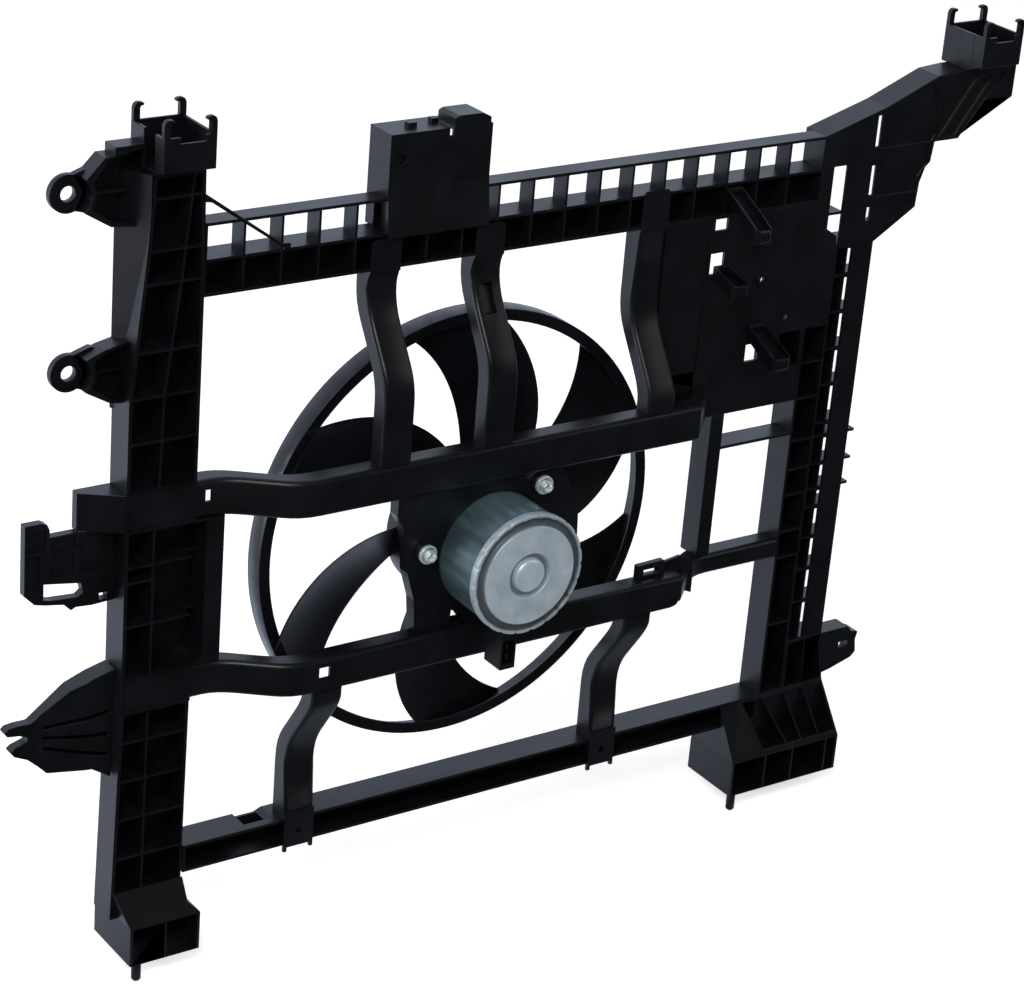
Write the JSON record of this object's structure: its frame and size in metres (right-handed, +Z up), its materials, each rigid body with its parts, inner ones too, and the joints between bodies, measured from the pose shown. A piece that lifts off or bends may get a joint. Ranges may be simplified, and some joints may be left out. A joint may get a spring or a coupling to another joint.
{
  "type": "radiator cooling fan",
  "caption": "Electric radiator cooling fan: a ribbed black plastic carrier with crossbars, feet and side brackets holds a steel-cased motor that turns a ringed wheel of swept blades.",
  "frame": {"origin": "root of the left locating pin, on its axis and in the plane of the left foot's underside", "axes": "+X to the right along the carrier, seen from the motor's side; +Y away from the motor's end cap, along the fan's axis; +Z up"},
  "size_m": [0.962, 0.1315, 0.731],
  "materials": {
    "carrier_plastic": "satin",
    "fan_plastic": "satin",
    "connector_plastic": "satin",
    "galvanised_can": "satin",
    "end_cap_steel": "satin",
    "zinc_steel": "bright",
    "bright_steel": "ground",
    "core_steel": "laminated",
    "copper_wire": "enamelled",
    "copper_bar": "machined",
    "ferrite": "ground",
    "brush_board": "matt",
    "carbon": "matt",
    "spring_steel": "bright",
    "bronze": "sintered"
  },
  "bodies": {
    "carrier": {"bottom_rail": "carrier_plastic", "brush_plate": "brush_board", "brush_springs": "spring_steel", "brushes": "carbon", "clip_loop": "carrier_plastic", "connector_bracket": "carrier_plastic", "connector_socket": "connector_plastic", "connector_terminals": "copper_bar", "diagonal_brace": "carrier_plastic", "fork_bracket": "carrier_plastic", "front_bearing": "bright_steel", "latch_housing": "carrier_plastic", "left_foot": "carrier_plastic", "left_locating_pin": "carrier_plastic", "left_post": "carrier_plastic", "left_tower": "carrier_plastic", "lower_crossbar": "carrier_plastic", "lower_spoke_left": "carrier_plastic", "lower_spoke_right": "carrier_plastic", "lower_tie": "carrier_plastic", "magnets": "ferrite", "middle_left_ear": "carrier_plastic", "module_hooks": "carrier_plastic", "module_plate": "carrier_plastic", "motor_can": "galvanised_can", "motor_end_cap": "end_cap_steel", "motor_flange": "galvanised_can", "motor_ring": "carrier_plastic", "motor_screws": "zinc_steel", "rear_bearing": "bronze", "right_arm": "carrier_plastic", "right_foot": "carrier_plastic", "right_locating_pin": "carrier_plastic", "right_post": "carrier_plastic", "right_rib_strip": "carrier_plastic", "right_stay": "carrier_plastic", "right_tab": "carrier_plastic", "right_tower": "carrier_plastic", "top_rail": "carrier_plastic", "upper_bracket": "carrier_plastic", "upper_crossbar": "carrier_plastic", "upper_left_ear": "carrier_plastic", "upper_spoke_left": "carrier_plastic", "upper_spoke_middle": "carrier_plastic", "upper_spoke_right": "carrier_plastic"},
    "fan_wheel": {"fan_hub": "fan_plastic", "fan_blades": "fan_plastic", "fan_ring": "fan_plastic", "fan_nut": "zinc_steel", "motor_shaft": "bright_steel", "armature_core": "core_steel", "rear_windings": "copper_wire", "front_windings": "copper_wire", "commutator": "copper_bar"}
  },
  "joints": [
    {"name": "fan_spin", "type": "hinge", "parent": "carrier", "child": "fan_wheel", "pos_m": [0.314, 0.038, 0.316], "axis": [0, 1, 0], "continuous": true}
  ]
}
